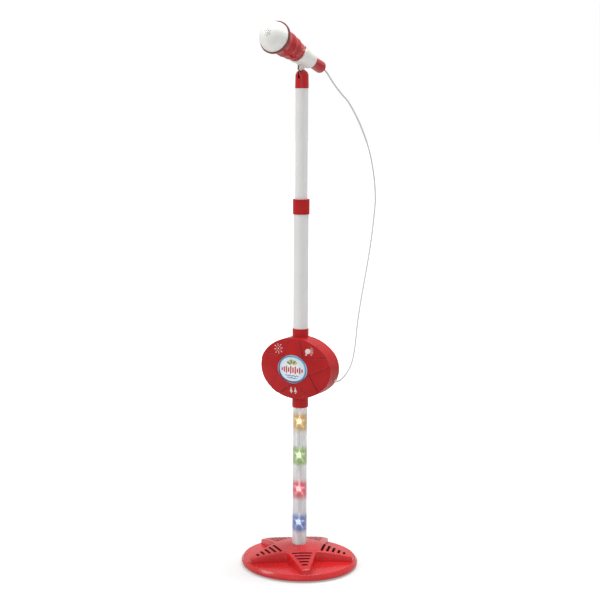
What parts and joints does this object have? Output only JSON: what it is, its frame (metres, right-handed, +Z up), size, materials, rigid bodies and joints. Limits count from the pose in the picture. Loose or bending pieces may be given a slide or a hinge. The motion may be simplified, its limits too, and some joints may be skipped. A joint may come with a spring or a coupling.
{
  "type": "toy microphone on stand",
  "caption": "Toy microphone in a tilting clip on a telescopic stand with lights in the pole, an oval sound box with effect keys, a star base and a cord.",
  "frame": {"origin": "on the floor under the middle of the base, on the mast's axis", "axes": "+Z up the mast, -Y to the front, where the box's badge and the microphone's head point, +X to the right seen from the back"},
  "size_m": [0.207, 0.2574, 0.9562],
  "materials": {
    "base_red": "satin moulded plastic",
    "red_plastic": "satin moulded plastic",
    "dark_red": "satin moulded plastic",
    "rubber": "matt",
    "steel": "zinc plated",
    "clear_tube": "frosted translucent",
    "white_plastic": "satin moulded plastic",
    "strip_board": "solder mask",
    "led": "clear",
    "blue_light": "clear tinted",
    "red_light": "clear tinted",
    "green_light": "clear tinted",
    "yellow_light": "clear tinted",
    "wire": "insulated wire",
    "badge_face": "printed label under a clear dome",
    "green_board": "solder mask",
    "black_plastic": "matt",
    "cell": "plain wrapped cell",
    "pale_tube": "satin extruded tube",
    "grey_plastic": "matt",
    "cord": "soft PVC"
  },
  "bodies": {
    "stand": {"base_shell": "base_red", "base_plate": "dark_red", "rubber_feet": "rubber", "base_screws": "steel", "mast_screw": "steel", "light_tube": "clear_tube", "strip_foot": "white_plastic", "strip_head": "white_plastic", "led_strip": "strip_board", "led_chips": "led", "blue_star": "blue_light", "red_star": "red_light", "green_star": "green_light", "yellow_star": "yellow_light", "led_wires": "wire", "front_shell": "red_plastic", "rear_shell": "red_plastic", "case_screws": "steel", "badge": "badge_face", "circuit_board": "green_board", "board_screws": "steel", "key_switches": "black_plastic", "speaker": "black_plastic", "batteries": "cell", "battery_contacts": "steel", "battery_door": "red_plastic", "door_screw": "steel", "switch_body": "black_plastic", "box_strain_relief": "white_plastic", "middle_tube": "pale_tube", "grip_bush": "grey_plastic", "cord_lower": "cord"},
    "left_button": {"left_key": "red_plastic"},
    "right_button": {"right_key": "red_plastic"},
    "low_button": {"low_key": "red_plastic"},
    "power_slider": {"switch_knob": "black_plastic"},
    "lock": {"lock_ring": "red_plastic"},
    "mast": {"upper_tube": "pale_tube", "tube_foot": "grey_plastic", "top_cap": "red_plastic", "pivot_pin": "steel"},
    "clip": {"mic_clip": "white_plastic", "cord_middle": "cord"},
    "microphone": {"mic_body": "red_plastic", "mic_ring": "dark_red", "mic_grille": "white_plastic", "mic_capsule": "black_plastic", "capsule_cup": "white_plastic", "mic_lead": "wire", "mic_tail": "red_plastic", "mic_strain_relief": "white_plastic", "cord_top": "cord"}
  },
  "joints": [
    {"name": "mast_slide", "type": "slide", "parent": "stand", "child": "mast", "axis": [0, 0, 1], "range_m": [-0.18, 0], "deforming": ["cord_lower"]},
    {"name": "lock_twist", "type": "hinge", "parent": "stand", "child": "lock", "pos_m": [0, 0, 0.643], "axis": [0, 0, 1], "range_deg": [0, 60]},
    {"name": "clip_tilt", "type": "hinge", "parent": "mast", "child": "clip", "pos_m": [0, 0, 0.869], "axis": [1, 0, 0], "range_deg": [-40, 50], "deforming": ["cord_middle"]},
    {"name": "mic_pull", "type": "slide", "parent": "clip", "child": "microphone", "axis": [0, -0.9563, 0.2924], "range_m": [0, 0.095], "deforming": ["cord_top"]},
    {"name": "left_key_press", "type": "slide", "parent": "stand", "child": "left_button", "axis": [0, 1, 0], "range_m": [0, 0.0012], "stiffness_N_per_m": 600, "springref_m": -0.001},
    {"name": "right_key_press", "type": "slide", "parent": "stand", "child": "right_button", "axis": [0, 1, 0], "range_m": [0, 0.0012], "stiffness_N_per_m": 600, "springref_m": -0.001},
    {"name": "low_key_press", "type": "slide", "parent": "stand", "child": "low_button", "axis": [0, 1, 0], "range_m": [0, 0.0012], "stiffness_N_per_m": 600, "springref_m": -0.001},
    {"name": "power_slide", "type": "slide", "parent": "stand", "child": "power_slider", "axis": [1, 0, 0], "range_m": [0, 0.005]}
  ]
}
